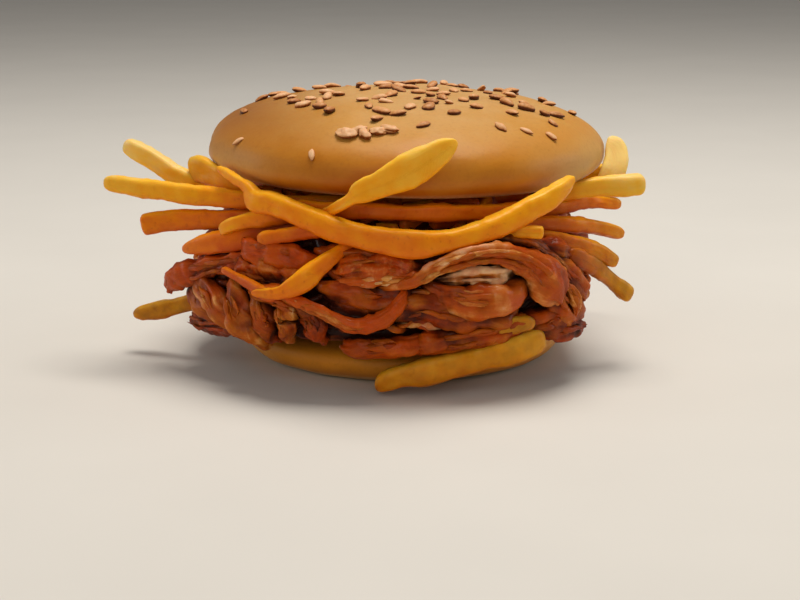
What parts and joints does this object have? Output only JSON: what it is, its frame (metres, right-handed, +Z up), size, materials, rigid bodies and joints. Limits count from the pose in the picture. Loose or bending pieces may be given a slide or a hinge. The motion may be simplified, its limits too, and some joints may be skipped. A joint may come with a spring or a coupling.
{
  "type": "pulled pork sandwich",
  "caption": "Pulled pork sandwich: seeded bun crown and bun heel around a heap of sauced pulled pork, with long cheddar shreds sticking out all round.",
  "frame": {"origin": "centre of the flat underside of the bun heel, on the surface that the sandwich rests on", "axes": "+Z up through the bun, -Y towards the front, where the long cheese shred drapes over the pork, +X to the right seen from the front"},
  "size_m": [0.1403, 0.1194, 0.0698],
  "materials": {
    "crust": "satin",
    "heel_crumb": "matt",
    "cheddar": "satin",
    "pulled_pork": "glossy, coated in sauce"
  },
  "bodies": {
    "root": {"bun_crown": "crust", "bun_heel": "heel_crumb", "cheese_back_left": "cheddar", "cheese_back_long": "cheddar", "cheese_back_low": "cheddar", "cheese_back_right": "cheddar", "cheese_heap": "cheddar", "cheese_leaf": "cheddar", "cheese_left_broad": "cheddar", "cheese_left_front": "cheddar", "cheese_left_long": "cheddar", "cheese_left_low": "cheddar", "cheese_left_rising": "cheddar", "cheese_left_tucked": "cheddar", "cheese_left_wedge": "cheddar", "cheese_long_drape": "cheddar", "cheese_low_front": "cheddar", "cheese_low_left": "cheddar", "cheese_right_drop": "cheddar", "cheese_right_flat": "cheddar", "cheese_right_low": "cheddar", "cheese_right_mid": "cheddar", "cheese_right_pale": "cheddar", "cheese_right_stub": "cheddar", "cheese_right_upper": "cheddar", "cheese_sauced_front": "cheddar", "cheese_sauced_thin": "cheddar", "cheese_under_crown": "cheddar", "pork_arched": "pulled_pork", "pork_curled": "pulled_pork", "pork_heap": "pulled_pork", "pork_left_tail": "pulled_pork", "pork_lower_fold": "pulled_pork", "pork_lower_strip": "pulled_pork", "pork_outer_arch": "pulled_pork", "pork_right_tail": "pulled_pork", "pork_sagging_loop": "pulled_pork"}
  },
  "joints": []
}
